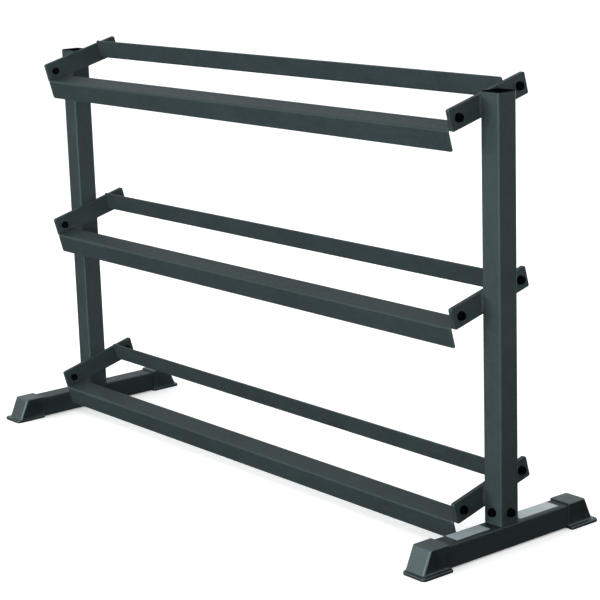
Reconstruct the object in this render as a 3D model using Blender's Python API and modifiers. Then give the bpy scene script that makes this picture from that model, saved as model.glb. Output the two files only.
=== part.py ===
"""Three-tier dumbbell rack: two end frames of square tube joined by three sloping shelves.

Each end frame is an upright that slides over a spigot on a foot tube. A shelf is two steel
angles welded between two end plates, and each end plate is bolted to a bracket that is welded
to the inner face of an upright. Frame: +X along the rack's length, -Y the front that the user
faces, +Z up, with the origin on the floor under the middle of the rack.
"""

import math

import bmesh
import bpy
from mathutils import Matrix, Vector

# Clearance between neighbouring solids
GAP = 0.0003

# Square tube
TUBE_SIDE = 0.054
TUBE_WALL = 0.0025
TUBE_CORNER = 0.004

# End frames
RACK_LENGTH = 1.700
UPRIGHT_TOP = 1.020
FOOT_TUBE_LENGTH = 0.472
SPIGOT_HEIGHT = 0.090
SPIGOT_WALL = 0.003
UPRIGHT_BOLT_HEIGHT = 0.029

# Rubber caps on the foot tubes, measured along the foot from its middle
CAP_BASE = 0.003
CAP_TOP_WALL = 0.004
CAP_SIDE_WALL = 0.002
CAP_MOUTH = 0.189
CAP_TOP_END = 0.243
CAP_BOTTOM_END = 0.269
CAP_ROUNDING = 0.003
CAP_WALL_START = 0.003
TREAD_HEIGHT = 0.0075
TREAD_LEDGE = 0.0006
TREAD_OUTER_REACH = 0.012
TREAD_END_REACH = 0.008
TREAD_CORNER = 0.010

# Shelves: bracket centre heights, and the slope that drops them towards the front
TIER_HEIGHTS = {"bottom": 0.126, "middle": 0.567, "top": 0.996}
SHELF_SLOPE = math.radians(15)

# Bracket and end plate, both flat bar
BAR_LENGTH = 0.236
BAR_WIDTH = 0.050
BAR_THICKNESS = 0.005
BAR_CORNER = 0.004
BOLT_SPACING = 0.190

# Rails: folded angle, placed in a shelf's own sloping frame
RAIL_LEG = 0.050
RAIL_THICKNESS = 0.0035
RAIL_BEND = 0.006
FRONT_LIP_FACE = -0.123
FRONT_SEAT_TOP = -0.019
REAR_STOP_FACE = 0.057
REAR_SEAT_UNDERSIDE = -0.017

# M10 fasteners
SHANK_RADIUS = 0.005
HOLE_RADIUS = 0.0055
NUT_BORE_RADIUS = 0.0053
HEX_ACROSS_FLATS = 0.017
HEAD_HEIGHT = 0.0064
WASHER_RADIUS = 0.0105
WASHER_THICKNESS = 0.002
NUT_HEIGHT = 0.008
SHELF_BOLT_LENGTH = 0.025
UPRIGHT_BOLT_LENGTH = 0.016

# Plug in the top of each upright
PLUG_FLANGE_SIDE = 0.0528
PLUG_FLANGE_HEIGHT = 0.002
PLUG_DEPTH = 0.015

# Blank label plates on the right foot: front and rear ends along the foot
LABEL_WIDTH = 0.038
LABEL_THICKNESS = 0.0004
LABEL_INSET = 0.0034
LABEL_SPANS = {"front": (-0.152, -0.050), "rear": (0.045, 0.168)}

# Segment counts of round shapes
ARC_STEPS = 4
HOLE_SEGMENTS = 20

# Derived sizes
UPRIGHT_CENTRE = (RACK_LENGTH - TUBE_SIDE) / 2
UPRIGHT_INNER_FACE = RACK_LENGTH / 2 - TUBE_SIDE
FOOT_TOP = CAP_BASE + TUBE_SIDE
BRACKET_CENTRE = UPRIGHT_INNER_FACE - GAP - BAR_THICKNESS / 2
END_PLATE_CENTRE = BRACKET_CENTRE - BAR_THICKNESS - GAP
RAIL_LENGTH = 2 * (END_PLATE_CENTRE - BAR_THICKNESS / 2 - GAP)
SPIGOT_SIDE = TUBE_SIDE - 2 * TUBE_WALL - 2 * GAP

SIDES = {"left": -1, "right": 1}
ENDS = {"front": -1, "rear": 1}

# Turns that stand a flat outline up: its thickness then runs along X, along Y or along Z
THICKNESS_ALONG_X = Matrix.Rotation(math.pi / 2, 4, "Z") @ Matrix.Rotation(math.pi / 2, 4, "X")
THICKNESS_ALONG_Y = Matrix.Rotation(math.pi / 2, 4, "X")
THICKNESS_ALONG_Z = Matrix.Identity(4)


def clear_scene():
    for item in list(bpy.data.objects):
        bpy.data.objects.remove(item, do_unlink=True)


def make_collection(name):
    collection = bpy.data.collections.new(name)
    bpy.context.scene.collection.children.link(collection)
    return collection


def make_material(name, colour, roughness, metallic):
    material = bpy.data.materials.new(name)
    material.use_nodes = True
    shader = material.node_tree.nodes["Principled BSDF"]
    shader.inputs["Base Color"].default_value = (*colour, 1)
    shader.inputs["Roughness"].default_value = roughness
    shader.inputs["Metallic"].default_value = metallic
    return material


def add_object(name, mesh):
    item = bpy.data.objects.new(name, mesh)
    rack.objects.link(item)
    return item


def add_empty(name, location, slope=0.0):
    empty = bpy.data.objects.new(name, None)
    empty.location = location
    empty.rotation_euler.x = slope
    rack.objects.link(empty)
    return empty


def finish(item, material, parent=None, location=(0, 0, 0), turn=0.0):
    """Gives a piece its material and its place; turn is about the vertical of its parent."""
    item.data.materials.clear()
    item.data.materials.append(material)
    item.parent = parent
    item.location = location
    item.rotation_euler.z = turn
    item.data.shade_smooth()
    item.data.set_sharp_from_angle(angle=math.radians(30))
    return item


def evaluated_mesh(item):
    """The item's shape with its modifiers applied, as a new welded mesh."""
    evaluated = item.evaluated_get(bpy.context.evaluated_depsgraph_get())
    mesh = bpy.data.meshes.new_from_object(evaluated)
    shape = bmesh.new()
    shape.from_mesh(mesh)
    bmesh.ops.remove_doubles(shape, verts=shape.verts, dist=0.00001)
    bmesh.ops.recalc_face_normals(shape, faces=shape.faces)
    shape.to_mesh(mesh)
    shape.free()
    mesh.name = item.name
    return mesh


def combine(base, tool, operation):
    """Joins tool to base, or cuts it from base, and removes the tool."""
    boolean = base.modifiers.new(operation.title(), "BOOLEAN")
    boolean.operation = operation
    boolean.object = tool
    mesh = evaluated_mesh(base)
    base.modifiers.clear()
    base.data = mesh
    bpy.data.objects.remove(tool, do_unlink=True)


def round_edges(item, width, segments=2):
    bevel = item.modifiers.new("Bevel", "BEVEL")
    bevel.width = width
    bevel.segments = segments
    bevel.limit_method = "ANGLE"
    bevel.angle_limit = math.radians(40)
    mesh = evaluated_mesh(item)
    item.modifiers.clear()
    item.data = mesh


def rounded_outline(corners):
    """Closed outline through corners of (x, y, radius), each turned into an arc."""
    points = []
    for index, (x, y, radius) in enumerate(corners):
        corner = Vector((x, y))
        if radius == 0:
            points.append(corner)
            continue
        to_before = (Vector(corners[index - 1][:2]) - corner).normalized()
        to_after = (Vector(corners[(index + 1) % len(corners)][:2]) - corner).normalized()
        half_angle = to_before.angle(to_after) / 2
        centre = corner + (to_before + to_after).normalized() * radius / math.sin(half_angle)
        start = corner + to_before * radius / math.tan(half_angle) - centre
        end = corner + to_after * radius / math.tan(half_angle) - centre
        sweep = math.atan2(start.cross(end), start.dot(end))
        for step in range(ARC_STEPS + 1):
            points.append(centre + Matrix.Rotation(sweep * step / ARC_STEPS, 2) @ start)
    return points


def rectangle(width, height, radius, centre=(0, 0)):
    x, y = centre
    right, top = width / 2, height / 2
    return rounded_outline(
        [
            (x - right, y - top, radius),
            (x + right, y - top, radius),
            (x + right, y + top, radius),
            (x - right, y + top, radius),
        ]
    )


def circle(radius, centre):
    steps = [2 * math.pi * k / HOLE_SEGMENTS for k in range(HOLE_SEGMENTS)]
    return [Vector(centre) + radius * Vector((math.cos(a), math.sin(a))) for a in steps]


def extrude_outline(name, loops, thickness, turn, centre=(0, 0, 0)):
    """A mesh object of a flat outline, whose inner loops are holes, given a thickness."""
    curve = bpy.data.curves.new(name, "CURVE")
    curve.dimensions = "2D"
    curve.fill_mode = "BOTH"
    curve.extrude = thickness / 2
    for loop in loops:
        spline = curve.splines.new("POLY")
        spline.points.add(len(loop) - 1)
        for point, place in zip(spline.points, loop):
            point.co = (place.x, place.y, 0, 1)
        spline.use_cyclic_u = True
    guide = add_object(name, curve)
    mesh = evaluated_mesh(guide)
    bpy.data.objects.remove(guide, do_unlink=True)
    bpy.data.curves.remove(curve)
    mesh.transform(Matrix.Translation(centre) @ turn)
    return add_object(name, mesh)


def cylinder(name, radius, length, start, segments, turn):
    """A cylinder or prism from start along its axis, laid along +X, or turned from there."""
    mesh = bpy.data.meshes.new(name)
    shape = bmesh.new()
    bmesh.ops.create_cone(
        shape, cap_ends=True, segments=segments, radius1=radius, radius2=radius, depth=length
    )
    shape.to_mesh(mesh)
    shape.free()
    along_x = Matrix.Rotation(math.pi / 2, 4, "Y")
    mesh.transform(turn @ Matrix.Translation((start + length / 2, 0, 0)) @ along_x)
    return add_object(name, mesh)


def about_z(angle):
    return Matrix.Rotation(angle, 4, "Z")


def hex_radius():
    return HEX_ACROSS_FLATS / math.sqrt(3)


def square_tube(name, side, wall, corner, length, turn, centre):
    outer = rectangle(side, side, corner)
    inner_corner = max(corner - wall, 0.001)
    inner = rectangle(side - 2 * wall, side - 2 * wall, inner_corner)
    return extrude_outline(name, [outer, inner], length, turn, centre)


def make_foot_tube(side):
    centre = (0, 0, CAP_BASE + TUBE_SIDE / 2)
    tube = square_tube(
        f"foot_tube_{side}", TUBE_SIDE, TUBE_WALL, TUBE_CORNER, FOOT_TUBE_LENGTH,
        THICKNESS_ALONG_Y, centre,
    )
    return finish(tube, powder_coat, location=(SIDES[side] * UPRIGHT_CENTRE, 0, 0))


def cross_holes(item, side, radius, height):
    """Cuts the front bolt hole and the outer bolt hole through one wall each."""
    for turn in (-math.pi / 2, 0 if side == "right" else math.pi):
        place = Matrix.Translation((0, 0, height)) @ about_z(turn)
        drill = cylinder("drill", radius, TUBE_SIDE, 0.006, HOLE_SEGMENTS, place)
        combine(item, drill, "DIFFERENCE")


def make_spigot(side):
    """Stub tube on the foot, with a weld nut behind each of its two bolt holes."""
    centre = (0, 0, SPIGOT_HEIGHT / 2)
    spigot = square_tube(
        f"foot_spigot_{side}", SPIGOT_SIDE, SPIGOT_WALL, TUBE_WALL, SPIGOT_HEIGHT,
        THICKNESS_ALONG_Z, centre,
    )
    nut_start = SPIGOT_SIDE / 2 - SPIGOT_WALL - NUT_HEIGHT + GAP
    for turn in (-math.pi / 2, 0 if side == "right" else math.pi):
        place = Matrix.Translation((0, 0, UPRIGHT_BOLT_HEIGHT)) @ about_z(turn)
        nut = cylinder("weld_nut", hex_radius(), NUT_HEIGHT, nut_start, 6, place)
        combine(spigot, nut, "UNION")
    cross_holes(spigot, side, NUT_BORE_RADIUS, UPRIGHT_BOLT_HEIGHT)
    place = (SIDES[side] * UPRIGHT_CENTRE, 0, FOOT_TOP + GAP)
    return finish(spigot, powder_coat, location=place)


def make_upright(side):
    bottom = FOOT_TOP + GAP
    length = UPRIGHT_TOP - bottom
    upright = square_tube(
        f"upright_{side}", TUBE_SIDE, TUBE_WALL, TUBE_CORNER, length,
        THICKNESS_ALONG_Z, (0, 0, length / 2),
    )
    cross_holes(upright, side, HOLE_RADIUS, UPRIGHT_BOLT_HEIGHT)
    return finish(upright, powder_coat, location=(SIDES[side] * UPRIGHT_CENTRE, 0, bottom))


def make_upright_plug(side):
    flange = extrude_outline(
        f"upright_plug_{side}", [rectangle(PLUG_FLANGE_SIDE, PLUG_FLANGE_SIDE, TUBE_CORNER)],
        PLUG_FLANGE_HEIGHT, THICKNESS_ALONG_Z, (0, 0, PLUG_FLANGE_HEIGHT / 2),
    )
    body = extrude_outline(
        "plug_body", [rectangle(SPIGOT_SIDE, SPIGOT_SIDE, 0.002)],
        PLUG_DEPTH, THICKNESS_ALONG_Z, (0, 0, GAP - PLUG_DEPTH / 2),
    )
    combine(flange, body, "UNION")
    place = (SIDES[side] * UPRIGHT_CENTRE, 0, UPRIGHT_TOP + GAP)
    return finish(flange, black_plastic, location=place)


def make_foot_cap(side, end):
    """Rubber sleeve over a foot tube's end: a sloping end wall, and a tread on its outer side."""
    outer, front = SIDES[side], ENDS[end]
    height = FOOT_TOP + GAP + CAP_TOP_WALL
    half_width = TUBE_SIDE / 2 + GAP + CAP_SIDE_WALL
    profile = rounded_outline(
        [
            (front * CAP_MOUTH, CAP_WALL_START, 0),
            (front * CAP_MOUTH, height, 0),
            (front * CAP_TOP_END, height, CAP_ROUNDING),
            (front * CAP_BOTTOM_END, CAP_WALL_START, 0),
        ]
    )
    cap = extrude_outline(
        f"foot_cap_{end}_{side}", [profile], 2 * half_width, THICKNESS_ALONG_X
    )
    round_edges(cap, CAP_ROUNDING / 2)
    tread_start = front * (CAP_MOUTH - TREAD_LEDGE)
    tread_end = front * (CAP_BOTTOM_END + TREAD_END_REACH)
    inner_side = -outer * (half_width + TREAD_LEDGE)
    outer_side = outer * (half_width + TREAD_OUTER_REACH)
    outline = rounded_outline(
        [
            (inner_side, tread_start, CAP_ROUNDING),
            (outer_side, tread_start, TREAD_CORNER),
            (outer_side, tread_end, TREAD_CORNER),
            (inner_side, tread_end, CAP_ROUNDING),
        ]
    )
    tread = extrude_outline(
        "tread", [outline], TREAD_HEIGHT, THICKNESS_ALONG_Z, (0, 0, TREAD_HEIGHT / 2)
    )
    round_edges(tread, CAP_ROUNDING / 2)
    combine(cap, tread, "UNION")
    socket_length = FOOT_TUBE_LENGTH / 2 + GAP
    socket_side = TUBE_SIDE + 2 * GAP
    socket = extrude_outline(
        "socket", [rectangle(socket_side, socket_side, TUBE_CORNER)], socket_length,
        THICKNESS_ALONG_Y, (0, front * socket_length / 2, CAP_BASE + TUBE_SIDE / 2),
    )
    combine(cap, socket, "DIFFERENCE")
    return finish(cap, black_rubber, location=(outer * UPRIGHT_CENTRE, 0, 0))


def make_label_plate(end):
    start, stop = LABEL_SPANS[end]
    plate = extrude_outline(
        f"label_plate_{end}_right", [rectangle(LABEL_WIDTH, stop - start, 0.002)],
        LABEL_THICKNESS, THICKNESS_ALONG_Z,
    )
    height = FOOT_TOP + GAP + LABEL_THICKNESS / 2
    place = (UPRIGHT_CENTRE - LABEL_INSET, (start + stop) / 2, height)
    return finish(plate, label_grey, location=place)


def bar_outline():
    holes = [circle(HOLE_RADIUS, (end * BOLT_SPACING / 2, 0)) for end in ENDS.values()]
    return [rectangle(BAR_LENGTH, BAR_WIDTH, BAR_CORNER), *holes]


def make_bar(name, tier_frame, x):
    """Drilled flat bar on edge: the bracket of an upright, or the end plate of a shelf."""
    bar = extrude_outline(name, bar_outline(), BAR_THICKNESS, THICKNESS_ALONG_X)
    return finish(bar, powder_coat, tier_frame, (x, 0, 0))


def make_rail(name, tier_frame, corners):
    rail = extrude_outline(name, [rounded_outline(corners)], RAIL_LENGTH, THICKNESS_ALONG_X)
    return finish(rail, powder_coat, tier_frame)


def make_front_rail(tier, tier_frame):
    """Seat that slopes back from the front edge, with its lip turned down."""
    face, top = FRONT_LIP_FACE, FRONT_SEAT_TOP
    inner_bend = RAIL_BEND - RAIL_THICKNESS
    corners = [
        (face, top, RAIL_BEND),
        (face, top - RAIL_LEG, 0),
        (face + RAIL_THICKNESS, top - RAIL_LEG, 0),
        (face + RAIL_THICKNESS, top - RAIL_THICKNESS, inner_bend),
        (face + RAIL_LEG, top - RAIL_THICKNESS, 0),
        (face + RAIL_LEG, top, 0),
    ]
    return make_rail(f"front_rail_{tier}", tier_frame, corners)


def make_rear_rail(tier, tier_frame):
    """Stop flange that stands up, with its seat going back from the foot of the flange."""
    face, under = REAR_STOP_FACE, REAR_SEAT_UNDERSIDE
    inner_bend = RAIL_BEND - RAIL_THICKNESS
    corners = [
        (face, under + RAIL_LEG, 0),
        (face, under, RAIL_BEND),
        (face + RAIL_LEG, under, 0),
        (face + RAIL_LEG, under + RAIL_THICKNESS, 0),
        (face + RAIL_THICKNESS, under + RAIL_THICKNESS, inner_bend),
        (face + RAIL_THICKNESS, under + RAIL_LEG, 0),
    ]
    return make_rail(f"rear_rail_{tier}", tier_frame, corners)


def make_bolt(name, shank_length):
    """Hexagon bolt with its washer, along X: the head is at +X and the washer's back at 0."""
    bolt = cylinder(name, WASHER_RADIUS, WASHER_THICKNESS, 0, HOLE_SEGMENTS, THICKNESS_ALONG_Z)
    head_start = WASHER_THICKNESS - GAP
    head = cylinder("head", hex_radius(), HEAD_HEIGHT + GAP, head_start, 6, THICKNESS_ALONG_Z)
    combine(bolt, head, "UNION")
    shank = cylinder(
        "shank", SHANK_RADIUS, shank_length + GAP, -shank_length, HOLE_SEGMENTS, THICKNESS_ALONG_Z
    )
    combine(bolt, shank, "UNION")
    return bolt


def make_nut(name):
    """Hexagon nut along X, with its bearing face at 0 and its body towards -X."""
    nut = cylinder(name, hex_radius(), NUT_HEIGHT, -NUT_HEIGHT, 6, THICKNESS_ALONG_Z)
    bore = cylinder(
        "bore", NUT_BORE_RADIUS, 2 * NUT_HEIGHT, -1.5 * NUT_HEIGHT, HOLE_SEGMENTS,
        THICKNESS_ALONG_Z,
    )
    combine(nut, bore, "DIFFERENCE")
    return nut


def make_shelf_fasteners(tier, tier_frame, side, end):
    outward = SIDES[side]
    turn = 0 if outward > 0 else math.pi
    along = ENDS[end] * BOLT_SPACING / 2
    bolt = make_bolt(f"shelf_bolt_{tier}_{side}_{end}", SHELF_BOLT_LENGTH)
    bolt_x = outward * (BRACKET_CENTRE + BAR_THICKNESS / 2 + GAP)
    finish(bolt, black_steel, tier_frame, (bolt_x, along, 0), turn)
    nut = make_nut(f"shelf_nut_{tier}_{side}_{end}")
    nut_x = outward * (END_PLATE_CENTRE - BAR_THICKNESS / 2 - GAP)
    finish(nut, black_steel, tier_frame, (nut_x, along, 0), turn)


def make_upright_bolts(side):
    outward = SIDES[side]
    height = FOOT_TOP + GAP + UPRIGHT_BOLT_HEIGHT
    reach = TUBE_SIDE / 2 + GAP
    front = make_bolt(f"upright_bolt_front_{side}", UPRIGHT_BOLT_LENGTH)
    place = (outward * UPRIGHT_CENTRE, -reach, height)
    finish(front, black_steel, location=place, turn=-math.pi / 2)
    outer = make_bolt(f"upright_bolt_outer_{side}", UPRIGHT_BOLT_LENGTH)
    place = (outward * (UPRIGHT_CENTRE + reach), 0, height)
    finish(outer, black_steel, location=place, turn=0 if outward > 0 else math.pi)


def make_end_frame(side):
    make_foot_tube(side)
    make_spigot(side)
    make_upright(side)
    make_upright_plug(side)
    make_upright_bolts(side)
    for end in ENDS:
        make_foot_cap(side, end)


def make_shelf(tier):
    tier_frame = add_empty(f"{tier}_shelf_frame", (0, 0, TIER_HEIGHTS[tier]), SHELF_SLOPE)
    make_front_rail(tier, tier_frame)
    make_rear_rail(tier, tier_frame)
    for side, outward in SIDES.items():
        make_bar(f"shelf_bracket_{tier}_{side}", tier_frame, outward * BRACKET_CENTRE)
        make_bar(f"shelf_end_plate_{tier}_{side}", tier_frame, outward * END_PLATE_CENTRE)
        for end in ENDS:
            make_shelf_fasteners(tier, tier_frame, side, end)


clear_scene()
rack = make_collection("dumbbell_rack")
powder_coat = make_material("powder_coat", (0.045, 0.055, 0.057), 0.5, 0.1)
black_rubber = make_material("black_rubber", (0.022, 0.026, 0.027), 0.7, 0.0)
black_plastic = make_material("black_plastic", (0.008, 0.008, 0.009), 0.5, 0.0)
black_steel = make_material("black_steel", (0.010, 0.010, 0.012), 0.4, 0.7)
label_grey = make_material("label_grey", (0.35, 0.37, 0.37), 0.5, 0.0)
for frame_side in SIDES:
    make_end_frame(frame_side)
for shelf_tier in TIER_HEIGHTS:
    make_shelf(shelf_tier)
for label_end in LABEL_SPANS:
    make_label_plate(label_end)
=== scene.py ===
import math

import bmesh
import bpy
from mathutils import Matrix, Vector


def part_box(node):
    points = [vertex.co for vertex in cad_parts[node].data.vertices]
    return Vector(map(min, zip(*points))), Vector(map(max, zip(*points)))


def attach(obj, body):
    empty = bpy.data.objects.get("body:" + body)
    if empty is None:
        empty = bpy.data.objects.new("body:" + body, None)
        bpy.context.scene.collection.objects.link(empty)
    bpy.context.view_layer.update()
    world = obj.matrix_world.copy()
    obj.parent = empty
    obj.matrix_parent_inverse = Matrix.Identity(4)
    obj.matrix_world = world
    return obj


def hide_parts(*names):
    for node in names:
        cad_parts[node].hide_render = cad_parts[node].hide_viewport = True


SIDES = {"left": -1, "right": 1}
ENDS = {"front": -1, "rear": 1}
TIERS = ("bottom", "middle", "top")

# Camera: its place in metres, two of its axes, and its lens and sensor in millimetres
CAMERA_PLACE = (3.6190, -2.8277, 1.4951)
CAMERA_RIGHT = (0.63546, 0.77150, -0.03122)
CAMERA_UP = (-0.15480, 0.16691, 0.97375)
CAMERA_LENS = 112.22
CAMERA_SENSOR = 36

# Square tubes, in metres as all sizes here
TUBE_WALL = 0.0025
TUBE_CORNER = 0.004
SAWN_EDGE = 0.0004
DRILL_START = 0.01
DRILL_LENGTH = 0.016

# Bars of the shelves, and their two bolt holes
SHELF_SLOPE = math.radians(15)
BAR_LENGTH = 0.236
BAR_WIDTH = 0.050
BAR_CORNER = 0.0042
BOLT_SPACING = 0.190
HOLE_RADIUS = 0.0055
CUT_EDGE = 0.0006

# Folded rails, placed along the slope and across it from the middle of a bar
RAIL_LEG = 0.050
RAIL_THICKNESS = 0.0035
RAIL_BEND = 0.006
RAIL_EDGE = 0.0009
RAIL_END_CORNER = 0.0045
FRONT_LIP_FACE = -0.123
FRONT_SEAT_TOP = -0.019
REAR_STOP_FACE = 0.057
REAR_SEAT_UNDERSIDE = -0.017

# M10 fasteners. A thread has so many rings to each pitch.
SHANK_RADIUS = 0.005
SHANK_ROOT = 0.0042
TIP_RADIUS = 0.0036
NUT_BORE_RADIUS = 0.0053
NUT_MOUTH_RADIUS = 0.0059
HEX_ACROSS_FLATS = 0.017
HEX_CHAMFER = math.radians(30)
FACE_RADIUS = 0.0070
BEARING_RADIUS = 0.0080
WASHER_RADIUS = 0.0105
WASHER_THICKNESS = 0.002
HEAD_HEIGHT = 0.0064
THREAD_PITCH = 0.0015
THREAD_DEPTH = 0.0008
THREAD_LENGTH = 0.016
THREAD_RINGS = 5

# Plugs: how much narrower the body is than the head, and the body's corners
PLUG_FIT = 0.0048
PLUG_CORNER = 0.002

# Rubber caps: distances from the middle of the foot along it, then heights and roundings
CAP_TOP_END = 0.243
CAP_BOTTOM_END = 0.269
CAP_MOUTH = 0.189
CAP_SOCKET_END = 0.2363
CAP_TREAD_END = 0.277
CAP_TREAD = 0.0075
CAP_SLOPE_START = 0.003
CAP_LEDGE = 0.0006
CAP_FILLET = 0.0022
CAP_EDGE = 0.0030
CAP_MOUTH_CORNER = 0.0012
CAP_TIP_CORNER = 0.0045
CAP_TOP_CORNER = 0.0016
TREAD_MOUTH_CORNER = 0.003
TREAD_TIP_CORNER = 0.010
NARROW_EDGE = 0.0004
NARROW_FILLET = 0.0002
SOCKET_START = 0.10
SOCKET_FIT = 0.0006

# Label plates
LABEL_CORNER = 0.002
LABEL_EDGE = 0.00015

# Legs and ripples of the weld beads
BRACKET_BEAD_LEG = 0.0042
FRONT_BEAD_LEG = 0.0023
REAR_BEAD_LEG = 0.0034
BEAD_RIPPLE = 0.0032
RIPPLE_RINGS = 6

# Smoothness: steps in a corner, round a circle and round a fastener, and the smallest rounding
CORNER_STEPS = 8
CIRCLE_STEPS = 36
HEX_STEPS = 48
LEAST_RADIUS = 0.00005

# Edge wear and painted edge highlight: a plane is flat if it holds this share of the largest flat's
# area, and a rounding's faces are narrower than the strip. Tubes get less of both than plates.
FLAT_SHARE = 0.2
EDGE_STRIP = 0.0012
TUBE_WEAR_AND_HIGHLIGHT = 0.15

# Shading: sharper edges than this stay sharp, and large faces sway the normals by this much
SHARP_ANGLE = math.radians(45)
FLAT_FACE_WEIGHT = 80

# The part of a noise's range that its values mostly fill
NOISE_LOW, NOISE_HIGH = 0.3, 0.7

# Cool casts of every dark piece, of the sheen on paint and rubber, and of the two labels
STEEL_TINT = (0.79, 1.03, 1.07)
SHEEN = (0.80, 1.0, 1.04, 1.0)
FRONT_LABEL_TINT = (0.90, 1.01, 1.06)
REAR_LABEL_TINT = (0.94, 1.0, 1.03)

# Shine of the black-oxide steel, and how the noise is stretched into brush lines on the labels
STEEL_SPECULAR = 0.015
BRUSHING = (900.0, 26.0, 400.0)

# Strength of the white sky, and the cool cast that it shares with the lamps. It fades out just
# below the horizon, between these two values of an upward direction's Z.
SKY = 1.0
CAST = (0.92, 1.0, 1.02)
SKY_FADE = (-0.035, -0.025)

# Floor: half of its width, its two tones, and how much it glows
FLOOR_REACH = 300
FLOOR_DARK = (0.93, 0.87, 0.855, 1)
FLOOR_LIGHT = (0.96, 0.90, 0.885, 1)
FLOOR_GLOW = 0.25

LIGHT_TARGET = (0, 0, 0.5)
# name, place, target, width and height, watts, spread
LIGHTS = [
    ("key", (-2.6, -5.2, 1.5), LIGHT_TARGET, (5.0, 1.4), 68, math.pi),
    ("front", (0.3, -6.0, 0.7), LIGHT_TARGET, (3.6, 1.0), 492, math.pi),
    ("side", (3.2, -0.95, 0.76), (0.8, -0.15, 0.68), (2.2, 1.1), 6.2, math.radians(26)),
    ("back", (3.0, 5.0, 2.2), LIGHT_TARGET, (3.0, 2.0), 38, math.pi),
    ("rear", (-0.4, 6.0, 0.7), LIGHT_TARGET, (2.0, 1.0), 160, math.pi),
]


# ---------------------------------------------------------------- shapes

def add_object(name, data):
    made = bpy.data.objects.new(name, data)
    bpy.context.scene.collection.objects.link(made)
    return made


def rounded(corners, steps=CORNER_STEPS):
    """Closed 2-D outline through corners of (x, y, radius), each turned into an arc."""
    points = []
    for index, (x, y, radius) in enumerate(corners):
        radius = max(radius, LEAST_RADIUS)
        corner = Vector((x, y))
        before = (Vector(corners[index - 1][:2]) - corner).normalized()
        after = (Vector(corners[(index + 1) % len(corners)][:2]) - corner).normalized()
        half = before.angle(after) / 2
        centre = corner + (before + after).normalized() * radius / math.sin(half)
        start = corner + before * radius / math.tan(half) - centre
        end = corner + after * radius / math.tan(half) - centre
        sweep = math.atan2(start.cross(end), start.dot(end))
        for step in range(steps + 1):
            points.append(centre + Matrix.Rotation(sweep * step / steps, 2) @ start)
    return points


def rectangle(width, height, radius, inset=0.0, steps=CORNER_STEPS):
    x, y = width / 2 - inset, height / 2 - inset
    radius = max(radius - inset, 0.0)
    corners = [(-x, -y, radius), (x, -y, radius), (x, y, radius), (-x, y, radius)]
    return rounded(corners, steps)


def circle(radius, centre=(0, 0)):
    turns = [2 * math.pi * k / CIRCLE_STEPS for k in range(CIRCLE_STEPS)]
    return [Vector(centre) + radius * Vector((math.cos(a), math.sin(a))) for a in turns]


def edge_steps(thickness, edge, segments=3):
    """(place across the thickness, inset) pairs of a plate whose two edges are rounded."""
    near = []
    for k in range(segments + 1):
        turn = math.pi / 2 * k / segments
        near.append((thickness / 2 - edge * (1 - math.cos(turn)), edge * (1 - math.sin(turn))))
    return [(-place, inset) for place, inset in near] + near[::-1]


def solid(name, loops):
    """A closed mesh from stacks of rings: the first stack is the outside, the others are holes."""
    shape = bmesh.new()
    first_edges, last_edges = [], []
    for rings in loops:
        rows = [[shape.verts.new(point) for point in ring] for ring in rings]
        count = len(rows[0])
        for row, following in zip(rows, rows[1:]):
            for k in range(count):
                after = (k + 1) % count
                shape.faces.new((row[k], row[after], following[after], following[k]))
        for row, edges in ((rows[0], first_edges), (rows[-1], last_edges)):
            if len(loops) == 1:
                shape.faces.new(row)
                continue
            for k in range(count):
                edges.append(shape.edges.get((row[k], row[(k + 1) % count])))
    for edges in (first_edges, last_edges):
        if edges:
            bmesh.ops.triangle_fill(shape, use_beauty=True, use_dissolve=False, edges=edges)
    bmesh.ops.recalc_face_normals(shape, faces=shape.faces)
    mesh = bpy.data.meshes.new(name)
    shape.to_mesh(mesh)
    shape.free()
    return add_object(name, mesh)


def placed(place, levels):
    """Rings put in place by a matrix, from (distance across, ring) pairs."""
    return [[place @ Vector((*point, across)) for point in ring] for across, ring in levels]


def stack(steps, outline, place):
    """Rings of outline(inset) at each (distance across, inset) step."""
    return placed(place, [(across, outline(inset)) for across, inset in steps])


def tube(name, width, length, place):
    """Square tube with sawn ends, along the Z axis of its place."""
    steps = edge_steps(length, SAWN_EDGE, 2)
    bore, bore_corner = width - 2 * TUBE_WALL, TUBE_CORNER - TUBE_WALL
    outer = stack(steps, lambda inset: rectangle(width, width, TUBE_CORNER, inset), place)
    inner = stack(steps, lambda inset: rectangle(bore, bore, bore_corner, -inset), place)
    return solid(name, [outer, inner])


def mark_wear_and_highlight(mesh, strength):
    """Stores which vertices lie within a rounded edge, off the flat faces, for worn paint and a
    painted edge highlight.
    """
    shape = bmesh.new()
    shape.from_mesh(mesh)
    layer = shape.verts.layers.float.new("wear_and_highlight")
    planes = {}
    for face in shape.faces:
        offset = face.normal.dot(face.calc_center_median())
        plane = tuple(round(part, 2) for part in face.normal) + (round(offset, 4),)
        planes.setdefault(plane, []).append(face)
    areas = {plane: sum(face.calc_area() for face in faces) for plane, faces in planes.items()}
    flat = max(areas.values()) * FLAT_SHARE
    rounded_faces = set()
    for plane, faces in planes.items():
        for face in faces:
            width = face.calc_area() / max(edge.calc_length() for edge in face.edges)
            if areas[plane] < flat and width < EDGE_STRIP:
                rounded_faces.add(face)
    for vertex in shape.verts:
        worn = all(face in rounded_faces for face in vertex.link_faces)
        vertex[layer] = strength if worn else 0.0
    shape.to_mesh(mesh)
    shape.free()


def settle(item, material, slot, *nodes, wear_and_highlight=1.0):
    """Shades a finished piece, and gives it its material, body and the CAD nodes it replaces."""
    item.data.materials.clear()
    item.data.materials.append(material)
    item.data.shade_smooth()
    item.data.set_sharp_from_angle(angle=SHARP_ANGLE)
    mark_wear_and_highlight(item.data, wear_and_highlight)
    normals = item.modifiers.new("WeightedNormal", "WEIGHTED_NORMAL")
    normals.keep_sharp = True
    normals.weight = FLAT_FACE_WEIGHT
    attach(item, "root")
    if nodes:
        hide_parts(*nodes)
    return item


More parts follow.
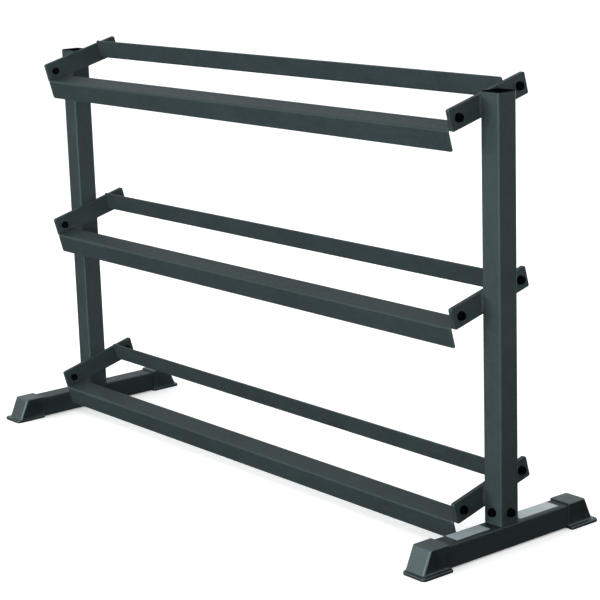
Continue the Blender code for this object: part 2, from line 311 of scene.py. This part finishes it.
def cut(item, outline, depths, place):
    """Cuts a straight hole with the outline, between two depths along the Z axis of its place."""
    tool = solid("cutter", [placed(place, [(depth, outline) for depth in depths])])
    boolean = item.modifiers.new("Cut", "BOOLEAN")
    boolean.operation = "DIFFERENCE"
    boolean.solver = "EXACT"
    boolean.object = tool
    evaluated = item.evaluated_get(bpy.context.evaluated_depsgraph_get())
    mesh = bpy.data.meshes.new_from_object(evaluated)
    item.modifiers.clear()
    item.data = mesh
    bpy.data.objects.remove(tool, do_unlink=True)


# ---------------------------------------------------------------- materials

def node(tree, kind, inputs=None, **settings):
    made = tree.nodes.new(kind)
    for key, value in settings.items():
        setattr(made, key, value)
    for key, value in (inputs or {}).items():
        if isinstance(value, bpy.types.NodeSocket):
            tree.links.new(value, made.inputs[key])
        else:
            made.inputs[key].default_value = value
    return made


def noise(tree, place, scale, detail=2.0, roughness=0.5):
    return node(
        tree, "ShaderNodeTexNoise",
        {"Vector": place, "Scale": scale, "Detail": detail, "Roughness": roughness},
    ).outputs["Fac"]


def remap(tree, value, low, high, to_low, to_high):
    return node(
        tree, "ShaderNodeMapRange",
        {"Value": value, "From Min": low, "From Max": high, "To Min": to_low, "To Max": to_high},
    ).outputs["Result"]


def ranged(tree, noise_value, to_low, to_high):
    """A noise stretched from its own range to the one between two values."""
    return remap(tree, noise_value, NOISE_LOW, NOISE_HIGH, to_low, to_high)


def worn_and_highlit_edges(tree):
    # mask of the rounded edges: partly worn paint, partly a painted highlight
    return node(tree, "ShaderNodeAttribute", attribute_name="wear_and_highlight").outputs["Fac"]


def mix(tree, factor, first, second):
    return node(
        tree, "ShaderNodeMix", {0: factor, 6: first, 7: second}, data_type="RGBA"
    ).outputs[2]


def math_node(tree, operation, first, second):
    return node(tree, "ShaderNodeMath", {0: first, 1: second}, operation=operation).outputs[0]


def bump(tree, height, distance, strength, normal=None):
    inputs = {"Height": height, "Distance": distance, "Strength": strength}
    if normal is not None:
        inputs["Normal"] = normal
    return node(tree, "ShaderNodeBump", inputs).outputs["Normal"]


def new_material(name):
    material = bpy.data.materials.new(name)
    material.use_nodes = True
    tree = material.node_tree
    shader = tree.nodes["Principled BSDF"]
    place = node(tree, "ShaderNodeTexCoord").outputs["Object"]
    return material, tree, shader, place


def grey(tone, tint=STEEL_TINT):
    return tuple(tone * part for part in tint) + (1.0,)


def powder_coat(name, dark, light, worn, specular):
    """Baked powder paint: orange peel, fine grain, faint mottle, and lighter edges, partly thinner
    paint and partly a painted highlight.
    """
    material, tree, shader, place = new_material(name)
    broad = noise(tree, place, scale=7.0, detail=3.0)
    mottle = noise(tree, place, scale=95.0, detail=4.0, roughness=0.65)
    grain = noise(tree, place, scale=1100.0, detail=2.0, roughness=0.6)
    peel = noise(tree, place, scale=420.0, detail=1.0)
    tone = math_node(tree, "ADD", ranged(tree, broad, 0.0, 0.45), ranged(tree, mottle, 0.0, 0.55))
    colour = mix(tree, tone, dark, light)
    specks = remap(tree, grain, 0.62, 0.75, 0.0, 0.35)
    colour = mix(tree, specks, colour, light)
    patches = noise(tree, place, scale=60.0, detail=4.0, roughness=0.7)
    chips = remap(tree, patches, 0.35, 0.65, 0.15, 1.0)
    # the lighter rounded edges are partly worn paint and partly a painted highlight
    edge = math_node(tree, "MULTIPLY", worn_and_highlit_edges(tree), chips)
    colour = mix(tree, edge, colour, worn)
    tree.links.new(colour, shader.inputs["Base Color"])
    polish = remap(tree, edge, 0.0, 1.0, 0.0, 0.10)
    rough = math_node(tree, "SUBTRACT", ranged(tree, mottle, 0.44, 0.58), polish)
    tree.links.new(rough, shader.inputs["Roughness"])
    normal = bump(tree, peel, distance=0.0004, strength=0.30)
    normal = bump(tree, grain, distance=0.00015, strength=0.25, normal=normal)
    tree.links.new(normal, shader.inputs["Normal"])
    shader.inputs["Specular IOR Level"].default_value = specular
    shader.inputs["Specular Tint"].default_value = SHEEN
    return material


def moulded(name, dark, light, worn, roughness, specular, grain_depth):
    """Moulded rubber or plastic: a fine spark-eroded skin, faint clouding and rubbed edges."""
    material, tree, shader, place = new_material(name)
    broad = noise(tree, place, scale=22.0, detail=4.0, roughness=0.6)
    skin = noise(tree, place, scale=750.0, detail=3.0, roughness=0.7)
    pits = node(tree, "ShaderNodeTexVoronoi", {"Vector": place, "Scale": 520.0}).outputs["Distance"]
    colour = mix(tree, ranged(tree, broad, 0.0, 1.0), dark, light)
    specks = remap(tree, skin, 0.55, 0.8, 0.0, 0.5)
    colour = mix(tree, specks, colour, light)
    rubbed = math_node(tree, "MULTIPLY", worn_and_highlit_edges(tree), ranged(tree, broad, 0.35, 1.0))
    colour = mix(tree, rubbed, colour, worn)
    tree.links.new(colour, shader.inputs["Base Color"])
    rough = ranged(tree, broad, roughness - 0.06, roughness + 0.08)
    tree.links.new(rough, shader.inputs["Roughness"])
    normal = bump(tree, skin, distance=0.0003, strength=grain_depth)
    normal = bump(tree, pits, distance=0.0002, strength=grain_depth * 0.6, normal=normal)
    tree.links.new(normal, shader.inputs["Normal"])
    shader.inputs["Specular IOR Level"].default_value = specular
    shader.inputs["Specular Tint"].default_value = SHEEN
    return material


def oxide_steel(name, dark, light, worn):
    """Black-oxide fastener steel: faint clouding, a fine grain and polished corners."""
    material, tree, shader, place = new_material(name)
    cloud = noise(tree, place, scale=260.0, detail=4.0, roughness=0.6)
    fine = noise(tree, place, scale=2400.0, detail=2.0)
    colour = mix(tree, ranged(tree, cloud, 0.0, 1.0), dark, light)
    patches = remap(tree, cloud, 0.4, 0.6, 0.1, 0.6)
    polished = math_node(tree, "MULTIPLY", worn_and_highlit_edges(tree), patches)
    tree.links.new(mix(tree, polished, colour, worn), shader.inputs["Base Color"])
    tree.links.new(ranged(tree, cloud, 0.34, 0.52), shader.inputs["Roughness"])
    normal = bump(tree, fine, distance=0.00006, strength=0.3)
    tree.links.new(normal, shader.inputs["Normal"])
    shader.inputs["Specular IOR Level"].default_value = STEEL_SPECULAR
    return material


def foil(name, dark, light):
    """Blank printed-foil label: fine lengthwise brushing under a satin film."""
    material, tree, shader, place = new_material(name)
    brushed = node(tree, "ShaderNodeMapping", {"Vector": place, "Scale": BRUSHING})
    brush = noise(tree, brushed.outputs["Vector"], scale=1.0, detail=3.0, roughness=0.6)
    cloud = noise(tree, place, scale=40.0, detail=3.0)
    tone = math_node(tree, "ADD", ranged(tree, brush, 0.0, 0.5), ranged(tree, cloud, 0.0, 0.5))
    tree.links.new(mix(tree, tone, dark, light), shader.inputs["Base Color"])
    tree.links.new(ranged(tree, brush, 0.38, 0.52), shader.inputs["Roughness"])
    normal = bump(tree, brush, distance=0.00005, strength=0.25)
    tree.links.new(normal, shader.inputs["Normal"])
    return material


# ---------------------------------------------------------------- pieces

def make_upright(side):
    """Upright with the two holes that its bolts go through."""
    low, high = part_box(f"upright_{side}")
    width, length = high.x - low.x, high.z - low.z
    item = tube(f"upright_shell_{side}", width, length, Matrix.Translation((low + high) / 2))
    for bolt in ("front", "outer"):
        near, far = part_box(f"upright_bolt_{bolt}_{side}")
        centre = (near + far) / 2
        if bolt == "front":
            start = Vector((centre.x, low.y - DRILL_START, centre.z))
            along = Matrix.Rotation(-math.pi / 2, 4, "X")
        else:
            reach = SIDES[side] * (width / 2 + DRILL_START)
            start = Vector(((low.x + high.x) / 2 + reach, centre.y, centre.z))
            along = Matrix.Rotation(-SIDES[side] * math.pi / 2, 4, "Y")
        place = Matrix.Translation(start) @ along
        cut(item, circle(HOLE_RADIUS), (0.0, DRILL_LENGTH), place)
    return settle(item, coat, "powder_coat", f"upright_{side}", wear_and_highlight=TUBE_WEAR_AND_HIGHLIGHT)


def make_foot_tube(side):
    low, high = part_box(f"foot_tube_{side}")
    place = Matrix.Translation((low + high) / 2) @ Matrix.Rotation(math.pi / 2, 4, "X")
    item = tube(f"foot_tube_shell_{side}", high.x - low.x, high.y - low.y, place)
    # its darker copy of the coat is painted shade near the floor
    return settle(item, shaded_foot_coat, "powder_coat", f"foot_tube_{side}", wear_and_highlight=TUBE_WEAR_AND_HIGHLIGHT)


def make_plug(side):
    """Plug with a low crowned head and a square body that goes into the tube."""
    low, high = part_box(f"upright_plug_{side}")
    width = high.x - low.x
    centre = (low + high) / 2
    body = width - PLUG_FIT
    top = high.z
    # height, size and inset of each ring: the body, then the head's rim and its crown
    sections = [
        (low.z, body, 0.0010), (low.z + 0.001, body, 0.0), (top - 0.002, body, 0.0),
        (top - 0.002, width, 0.0002), (top - 0.0018, width, 0.0),
        (top - 0.0013, width, 0.0), (top - 0.0008, width, 0.0002),
        (top - 0.00045, width, 0.0006), (top - 0.00025, width, 0.0013),
        (top - 0.00015, width, 0.004), (top - 0.00005, width, 0.010),
        (top, width, 0.018),
    ]
    rings = []
    for height, size, inset in sections:
        radius = TUBE_CORNER if size == width else PLUG_CORNER
        ring = rectangle(size, size, radius, inset)
        rings.append([Vector((centre.x + p.x, centre.y + p.y, height)) for p in ring])
    item = solid(f"upright_plug_head_{side}", [rings])
    return settle(item, plastic, "black_plastic", f"upright_plug_{side}")


def make_cap(side, end):
    """Rubber cap: a sleeve with a sloping end wall that flows into a tread round its foot."""
    outward, forward = SIDES[side], ENDS[end]
    low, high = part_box(f"foot_cap_{end}_{side}")
    tube_low, tube_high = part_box(f"foot_tube_{side}")
    centre_x = (tube_low.x + tube_high.x) / 2
    tread_inner = (centre_x - low.x) if outward > 0 else (high.x - centre_x)
    tread_outer = (high.x - centre_x) if outward > 0 else (centre_x - low.x)
    half = tread_inner - CAP_LEDGE
    tread_mouth = CAP_MOUTH - CAP_LEDGE
    top = high.z

    def wall_tip(height):
        """How far out the sloping end wall is at a height."""
        share = (height - CAP_SLOPE_START) / (top - CAP_SLOPE_START)
        return CAP_BOTTOM_END + (CAP_TOP_END - CAP_BOTTOM_END) * share

    def ring(height, inner, outer, mouth, tip, mouth_corner, tip_corner):
        """One level: extents towards the rack and away from it, at the mouth and at the tip."""
        corners = [(-inner, mouth, mouth_corner), (outer, mouth, mouth_corner),
                   (outer, tip, tip_corner), (-inner, tip, tip_corner)]
        return [Vector((centre_x + outward * p.x, forward * p.y, height))
                for p in rounded(corners, 10)]

    rings = []
    tread = [
        (0.0, 0.0012), (0.0004, 0.0005), (0.0012, 0.0), (CAP_TREAD - 0.0022, 0.0),
        (CAP_TREAD - 0.0012, 0.0003), (CAP_TREAD - 0.0004, 0.0011), (CAP_TREAD, 0.0024),
    ]
    for height, inset in tread:
        # the tread's narrow ledges towards the rack and at the mouth keep a small rounding
        narrow = min(inset, NARROW_EDGE)
        rings.append(ring(height, tread_inner - narrow, tread_outer - inset,
                          tread_mouth + narrow, CAP_TREAD_END - inset,
                          TREAD_MOUTH_CORNER, TREAD_TIP_CORNER - inset))
    # the fillet between the tread and the walls
    for k in range(5):
        turn = math.pi / 2 * k / 4
        rise, reach = CAP_FILLET * (1 - math.cos(turn)), CAP_FILLET * (1 - math.sin(turn))
        narrow = min(reach, NARROW_FILLET)
        height = CAP_TREAD + rise
        rings.append(ring(height, half + narrow, half + reach, CAP_MOUTH - narrow,
                          wall_tip(height) + reach, CAP_MOUTH_CORNER, CAP_TIP_CORNER + reach))
    # the rounding between the walls and the top
    for k in range(7):
        turn = math.pi / 2 * k / 6
        height = top - CAP_EDGE * (1 - math.sin(turn))
        inset = CAP_EDGE * (1 - math.cos(turn))
        rings.append(ring(height, half - inset, half - inset, CAP_MOUTH + inset * 0.4,
                          wall_tip(height) - inset, CAP_MOUTH_CORNER,
                          max(CAP_TIP_CORNER - inset, CAP_TOP_CORNER)))
    item = solid(f"foot_cap_rubber_{end}_{side}", [rings])
    socket = tube_high.x - tube_low.x + SOCKET_FIT
    middle = Matrix.Translation((centre_x, 0, (tube_low.z + tube_high.z) / 2))
    place = middle @ Matrix.Rotation(-forward * math.pi / 2, 4, "X")
    cut(item, rectangle(socket, socket, TUBE_CORNER), (SOCKET_START, CAP_SOCKET_END), place)
    return settle(item, rubber, "black_rubber", f"foot_cap_{end}_{side}")


def bar_size(node_name):
    """Middle and thickness of a sloping bar."""
    low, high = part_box(node_name)
    return (low + high) / 2, high.x - low.x


def shelf_frame(centre):
    """The sloping frame of a shelf: X along its rails, Y up the slope, Z across it."""
    return Matrix.Translation((0, centre.y, centre.z)) @ Matrix.Rotation(SHELF_SLOPE, 4, "X")


def make_bar(node_name, name):
    """Bar of a bracket or an end plate, with its two bolt holes."""
    centre, thickness = bar_size(node_name)
    slope = Matrix.Rotation(SHELF_SLOPE, 4, "X")
    upright_plane = Matrix.Rotation(math.pi / 2, 4, "Z") @ Matrix.Rotation(math.pi / 2, 4, "X")
    place = Matrix.Translation(centre) @ slope @ upright_plane
    steps = edge_steps(thickness, CUT_EDGE)
    loops = [stack(steps, lambda inset: rectangle(BAR_LENGTH, BAR_WIDTH, BAR_CORNER, inset), place)]
    for end in ENDS.values():
        middle = (end * BOLT_SPACING / 2, 0)
        loops.append(stack(steps, lambda inset: circle(HOLE_RADIUS + inset, middle), place))
    return settle(solid(name, loops), coat, "powder_coat", node_name)


def front_profile(inset, trim):
    """Section of a front angle; trim shortens both its legs."""
    face, top = FRONT_LIP_FACE, FRONT_SEAT_TOP
    edge, inner_bend = RAIL_EDGE, RAIL_BEND - RAIL_THICKNESS
    return [
        (face + inset, top - inset, RAIL_BEND - inset),
        (face + inset, top - RAIL_LEG + inset + trim, edge - inset),
        (face + RAIL_THICKNESS - inset, top - RAIL_LEG + inset + trim, edge - inset),
        (face + RAIL_THICKNESS - inset, top - RAIL_THICKNESS + inset, inner_bend + inset),
        (face + RAIL_LEG - inset - trim, top - RAIL_THICKNESS + inset, edge - inset),
        (face + RAIL_LEG - inset - trim, top - inset, edge - inset),
    ]


def rear_profile(inset, trim):
    """Section of a rear angle; trim shortens both its legs."""
    face, under = REAR_STOP_FACE, REAR_SEAT_UNDERSIDE
    edge, inner_bend = RAIL_EDGE, RAIL_BEND - RAIL_THICKNESS
    return [
        (face + inset, under + RAIL_LEG - inset - trim, edge - inset),
        (face + inset, under + inset, RAIL_BEND - inset),
        (face + RAIL_LEG - inset - trim, under + inset, edge - inset),
        (face + RAIL_LEG - inset - trim, under + RAIL_THICKNESS - inset, edge - inset),
        (face + RAIL_THICKNESS - inset, under + RAIL_THICKNESS - inset, inner_bend + inset),
        (face + RAIL_THICKNESS - inset, under + RAIL_LEG - inset - trim, edge - inset),
    ]


def make_rail(which, tier, profile):
    """Folded angle whose free corners are rounded off at both ends."""
    low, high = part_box(f"{which}_rail_{tier}")
    place = shelf_frame(bar_size(f"shelf_bracket_{tier}_right")[0])
    corner = RAIL_END_CORNER
    depths = [0.0, 0.3 * CUT_EDGE, CUT_EDGE]
    depths += [corner * (1 - math.cos(math.pi / 2 * k / 7)) for k in range(3, 8)]
    rings = []
    for end in (-1, 1):
        side_rings = []
        for depth in depths:
            trim = corner - math.sqrt(max(corner**2 - (corner - depth) ** 2, 0))
            past = max(CUT_EDGE - depth, 0)
            inset = CUT_EDGE - math.sqrt(CUT_EDGE**2 - past**2)
            x = low.x + depth if end < 0 else high.x - depth
            points = rounded(profile(inset, trim), 6)
            side_rings.append([place @ Vector((x, p.x, p.y)) for p in points])
        rings += side_rings if end < 0 else side_rings[::-1]
    return settle(solid(f"{which}_rail_angle_{tier}", [rings]), coat, "powder_coat",
                  f"{which}_rail_{tier}")


def turned(radius_at):
    """Ring round a fastener's axis, from a function that gives the radius at each turn."""
    turns = [2 * math.pi * k / HEX_STEPS for k in range(HEX_STEPS)]
    return [(radius_at(turn) * math.cos(turn), radius_at(turn) * math.sin(turn)) for turn in turns]


def hex_ring(radius_limit=math.inf):
    """Ring of a hexagon whose corners are cut back to radius_limit."""
    def radius_at(turn):
        from_flat = (turn % (math.pi / 3)) - math.pi / 6
        return min(HEX_ACROSS_FLATS / 2 / math.cos(from_flat), radius_limit)
    return turned(radius_at)


def thread_ring(across):
    """Ring of a triangular thread that climbs one pitch a turn."""
    def radius_at(turn):
        phase = (across / THREAD_PITCH - turn / (2 * math.pi)) % 1.0
        return SHANK_RADIUS - THREAD_DEPTH * abs(2 * phase - 1)
    return turned(radius_at)


def round_ring(radius):
    return turned(lambda turn: radius)


def chamfer_levels(count=6):
    """(distance below the face, radius limit) down a hexagon's chamfer."""
    apothem = HEX_ACROSS_FLATS / 2
    face = 0.95 * apothem
    deepest = (apothem / math.cos(math.pi / 6) - face) * math.tan(HEX_CHAMFER)
    return [(deepest * k / count, face + deepest * k / count / math.tan(HEX_CHAMFER))
            for k in range(count + 1)]


def make_bolt(node_name, name, axis):
    """Hexagon bolt on its washer; axis points from the shank's tip out through the head."""
    low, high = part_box(node_name)
    centre = (low + high) / 2
    length = abs((high - low).dot(axis))
    head = WASHER_THICKNESS + HEAD_HEIGHT
    shank = length - head
    seat = centre + axis * (length / 2 - head)
    place = Matrix.Translation(seat) @ axis.to_track_quat("Z", "Y").to_matrix().to_4x4()
    # distances are from the washer's seat, which is where the shank ends
    levels = [(-shank, round_ring(TIP_RADIUS)), (-shank + 0.0006, round_ring(SHANK_ROOT))]
    threaded = min(THREAD_LENGTH, shank - 0.003)
    for k in range(int(threaded / (THREAD_PITCH / THREAD_RINGS)) + 1):
        across = -shank + 0.0009 + k * THREAD_PITCH / THREAD_RINGS
        levels.append((across, thread_ring(across)))
    levels.append((-shank + threaded + 0.0016, round_ring(SHANK_RADIUS)))
    top = WASHER_THICKNESS
    levels += [
        # the washer, with softened edges
        (0.0, round_ring(SHANK_RADIUS)), (0.0, round_ring(WASHER_RADIUS - 0.0003)),
        (0.0003, round_ring(WASHER_RADIUS)), (top - 0.0005, round_ring(WASHER_RADIUS)),
        (top - 0.00015, round_ring(WASHER_RADIUS - 0.00015)),
        (top, round_ring(WASHER_RADIUS - 0.0005)),
        # the head's bearing face and the start of its flats
        (top, round_ring(BEARING_RADIUS)), (top + 0.0003, round_ring(BEARING_RADIUS)),
        (top + 0.0003, hex_ring(0.0088)), (top + 0.0006, hex_ring()),
    ]
    levels += [(head - below, hex_ring(limit)) for below, limit in reversed(chamfer_levels())]
    levels.append((head, round_ring(FACE_RADIUS)))
    return settle(solid(name, [placed(place, levels)]), steel, "black_steel", node_name)


def make_nut(node_name, name, outward):
    """Hexagon nut, chamfered on both faces and in its bore."""
    low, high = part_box(node_name)
    turn = Vector((outward, 0, 0)).to_track_quat("Z", "Y").to_matrix().to_4x4()
    place = Matrix.Translation((low + high) / 2) @ turn
    half = (high.x - low.x) / 2
    levels = chamfer_levels()
    outer = [(-half + below, hex_ring(limit)) for below, limit in levels]
    outer += [(half - below, hex_ring(limit)) for below, limit in reversed(levels)]
    bore = [(-half, round_ring(NUT_MOUTH_RADIUS)), (-half + 0.0006, round_ring(NUT_BORE_RADIUS)),
            (half - 0.0006, round_ring(NUT_BORE_RADIUS)), (half, round_ring(NUT_MOUTH_RADIUS))]
    item = solid(name, [placed(place, outer), placed(place, bore)])
    return settle(item, steel, "black_steel", node_name)


def make_label(end):
    name = f"label_plate_{end}_right"
    low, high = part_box(name)
    size = high - low
    place = Matrix.Translation((low + high) / 2)
    steps = edge_steps(size.z, LABEL_EDGE, 2)
    rings = stack(steps, lambda inset: rectangle(size.x, size.y, LABEL_CORNER, inset), place)
    return settle(solid(f"blank_label_{end}_right", [rings]), labels[end], "blank_label", name)


def corner_outline(leg, steps=8):
    """Convex fillet in the corner of two faces, from a point just behind the corner."""
    points = [(-0.0003, -0.0003)]
    for k in range(steps + 1):
        turn = math.pi / 2 * k / steps
        points.append((leg * math.cos(turn) ** 1.25, leg * math.sin(turn) ** 1.25))
    return points


def ripple_bead(start, end, leg, across, upward):
    """A weld bead from start to end, with its fillet between the directions across and upward."""
    along = end - start
    count = max(int(along.length / BEAD_RIPPLE), 2)
    outline = corner_outline(leg)
    rings = []
    for k in range(count * RIPPLE_RINGS + 1):
        share = k / (count * RIPPLE_RINGS)
        phase = (k % RIPPLE_RINGS) / RIPPLE_RINGS
        swell = 0.90 + 0.10 * math.sin(math.pi * phase)
        taper = min(1.0, 0.45 + share * count * 0.5, 0.45 + (1 - share) * count * 0.5)
        size = swell * taper
        centre = start + along * share
        rings.append([centre + across * (x * size) + upward * (y * size) for x, y in outline])
    return solid("bead", [rings])


def join(name, items):
    """One piece from several, which are removed."""
    shape = bmesh.new()
    for item in items:
        shape.from_mesh(item.data)
        bpy.data.objects.remove(item, do_unlink=True)
    mesh = bpy.data.meshes.new(name)
    shape.to_mesh(mesh)
    shape.free()
    return add_object(name, mesh)


def make_bracket_welds(tier, side):
    """Upright beads where a bracket's outer face meets both corners of the upright."""
    outward = SIDES[side]
    centre, thickness = bar_size(f"shelf_bracket_{tier}_{side}")
    low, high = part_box(f"upright_{side}")
    half_height = BAR_WIDTH / 2 / math.cos(SHELF_SLOPE) - 0.001
    x = centre.x + outward * thickness / 2
    beads = []
    for forward in ENDS.values():
        y = (high.y if forward > 0 else low.y) - forward * 0.0012
        middle = centre.z + y * math.tan(SHELF_SLOPE)
        beads.append(ripple_bead(
            Vector((x, y, middle - half_height)), Vector((x, y, middle + half_height)),
            BRACKET_BEAD_LEG, Vector((outward, 0, 0)), Vector((0, forward, 0))))
    return settle(join(f"bracket_weld_{tier}_{side}", beads), coat, "powder_coat", wear_and_highlight=0.0)


def make_rail_welds(tier, side):
    """Beads from the rails' ends to an end plate, under both seats and behind the stop."""
    outward = SIDES[side]
    centre, thickness = bar_size(f"shelf_end_plate_{tier}_{side}")
    place = shelf_frame(centre)
    turn = place.to_3x3()
    x = centre.x - outward * thickness / 2
    inward = Vector((-outward, 0, 0))
    front_under = FRONT_SEAT_TOP - RAIL_THICKNESS
    rear_back = REAR_STOP_FACE + RAIL_THICKNESS
    rear_under = REAR_SEAT_UNDERSIDE
    # first and last point and direction away from the rail, all in the shelf's frame, and leg
    runs = [
        ((-0.115, front_under), (-0.075, front_under), (0, -1), FRONT_BEAD_LEG),
        ((rear_back, -0.009), (rear_back, 0.022), (1, 0), REAR_BEAD_LEG),
        ((REAR_STOP_FACE + 0.007, rear_under), (REAR_STOP_FACE + 0.046, rear_under), (0, -1),
         REAR_BEAD_LEG),
    ]
    beads = []
    for first, last, away, leg in runs:
        start, end = (place @ Vector((x, *point)) for point in (first, last))
        beads.append(ripple_bead(start, end, leg, inward, turn @ Vector((0, *away))))
    return settle(join(f"rail_weld_{tier}_{side}", beads), coat, "powder_coat", wear_and_highlight=0.0)


# ---------------------------------------------------------------- stage

def make_camera():
    data = bpy.data.cameras.new("camera")
    data.lens = CAMERA_LENS
    data.sensor_width = CAMERA_SENSOR
    data.clip_start, data.clip_end = 0.1, 500
    camera = add_object("camera", data)
    right, up = Vector(CAMERA_RIGHT).normalized(), Vector(CAMERA_UP)
    back = right.cross(up).normalized()
    up = back.cross(right)
    turn = Matrix((right, up, back)).transposed()
    camera.matrix_world = Matrix.Translation(CAMERA_PLACE) @ turn.to_4x4()
    bpy.context.scene.camera = camera


def make_light(name, place, target, size, watts, spread):
    """Rectangular softbox that faces its target and that no camera sees."""
    data = bpy.data.lights.new(name, "AREA")
    data.spread = spread
    data.shape = "RECTANGLE"
    data.size, data.size_y = size
    data.energy = watts
    data.color = CAST
    light = add_object(name, data)
    light.location = place
    direction = Vector(target) - Vector(place)
    light.rotation_euler = direction.to_track_quat("-Z", "Y").to_euler()
    light.visible_camera = False


def make_stage():
    """Pale floor, a little self-lit, that sends no light up at the rack."""
    reach = FLOOR_REACH
    corners = [(-reach, -reach, 0), (reach, -reach, 0), (reach, reach, 0), (-reach, reach, 0)]
    mesh = bpy.data.meshes.new("floor")
    mesh.from_pydata(corners, [], [(0, 1, 2, 3)])
    floor = add_object("floor", mesh)
    material, tree, shader, place = new_material("studio_floor")
    cloud = noise(tree, place, scale=1.5, detail=3.0)
    tree.links.new(mix(tree, cloud, FLOOR_DARK, FLOOR_LIGHT), shader.inputs["Base Color"])
    shader.inputs["Roughness"].default_value = 0.85
    shader.inputs["Specular IOR Level"].default_value = 0.1
    shader.inputs["Emission Color"].default_value = (1, 1, 1, 1)
    shader.inputs["Emission Strength"].default_value = FLOOR_GLOW
    mesh.materials.append(material)
    floor.visible_diffuse = False
    floor.visible_glossy = False


def make_sky():
    """Even white studio above the horizon, and no light from far below it."""
    world = bpy.data.worlds.new("studio")
    bpy.context.scene.world = world
    world.use_nodes = True
    tree = world.node_tree
    background = tree.nodes["Background"]
    direction = node(tree, "ShaderNodeTexCoord").outputs["Generated"]
    upward = node(tree, "ShaderNodeSeparateXYZ", {0: direction}).outputs["Z"]
    background.inputs["Color"].default_value = (*CAST, 1)
    tree.links.new(remap(tree, upward, *SKY_FADE, 0.0, SKY), background.inputs["Strength"])


# ---------------------------------------------------------------- the rack

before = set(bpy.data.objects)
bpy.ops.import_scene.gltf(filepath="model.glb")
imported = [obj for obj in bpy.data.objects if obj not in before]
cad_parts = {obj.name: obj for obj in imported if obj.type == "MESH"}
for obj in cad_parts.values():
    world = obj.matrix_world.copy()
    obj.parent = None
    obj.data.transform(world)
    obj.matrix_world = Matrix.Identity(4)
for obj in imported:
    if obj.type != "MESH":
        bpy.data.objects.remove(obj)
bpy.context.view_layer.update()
bpy.context.scene.view_settings.view_transform = "Standard"
make_camera()
make_stage()
make_sky()
for light in LIGHTS:
    make_light(*light)

coat = powder_coat("powder_coat", grey(0.0175), grey(0.0275), grey(0.050), specular=0.20)
# The feet get a darker copy of the same powder coat: painted shade on their sides near the floor.
shaded_foot_coat = powder_coat("powder_coat_feet_painted_shade", grey(0.009), grey(0.015), grey(0.040), specular=0.32)
rubber = moulded("black_rubber", grey(0.003), grey(0.006), grey(0.04),
                 roughness=0.43, specular=0.64, grain_depth=0.35)
plastic = moulded("black_plastic", grey(0.0012), grey(0.0025), grey(0.006),
                  roughness=0.60, specular=0.0, grain_depth=0.25)
steel = oxide_steel("black_steel", grey(0.0004), grey(0.0009), grey(0.003))
labels = {
    # The front label is darker than the rear one: partly painted shade, partly the tone of the
    # print it lacks.
    "front": foil("blank_label_grey_shade_and_print", grey(0.23, FRONT_LABEL_TINT), grey(0.33, FRONT_LABEL_TINT)),
    "rear": foil("blank_label_pale", grey(0.38, REAR_LABEL_TINT), grey(0.47, REAR_LABEL_TINT)),
}

for side, outward in SIDES.items():
    make_upright(side)
    make_foot_tube(side)
    make_plug(side)
    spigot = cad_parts[f"foot_spigot_{side}"]
    spigot.data.materials.clear()
    spigot.data.materials.append(coat)
    make_bolt(f"upright_bolt_front_{side}", f"foot_bolt_front_{side}", Vector((0, -1, 0)))
    make_bolt(f"upright_bolt_outer_{side}", f"foot_bolt_outer_{side}", Vector((outward, 0, 0)))
    for end in ENDS:
        make_cap(side, end)
for tier in TIERS:
    make_rail("front", tier, front_profile)
    make_rail("rear", tier, rear_profile)
    for side, outward in SIDES.items():
        make_bar(f"shelf_bracket_{tier}_{side}", f"bracket_bar_{tier}_{side}")
        make_bar(f"shelf_end_plate_{tier}_{side}", f"end_plate_bar_{tier}_{side}")
        make_bracket_welds(tier, side)
        make_rail_welds(tier, side)
        for end in ENDS:
            place_name = f"{tier}_{side}_{end}"
            make_bolt(f"shelf_bolt_{place_name}", f"bolt_{place_name}", Vector((outward, 0, 0)))
            make_nut(f"shelf_nut_{place_name}", f"nut_{place_name}", outward)
for end in ENDS:
    make_label(end)
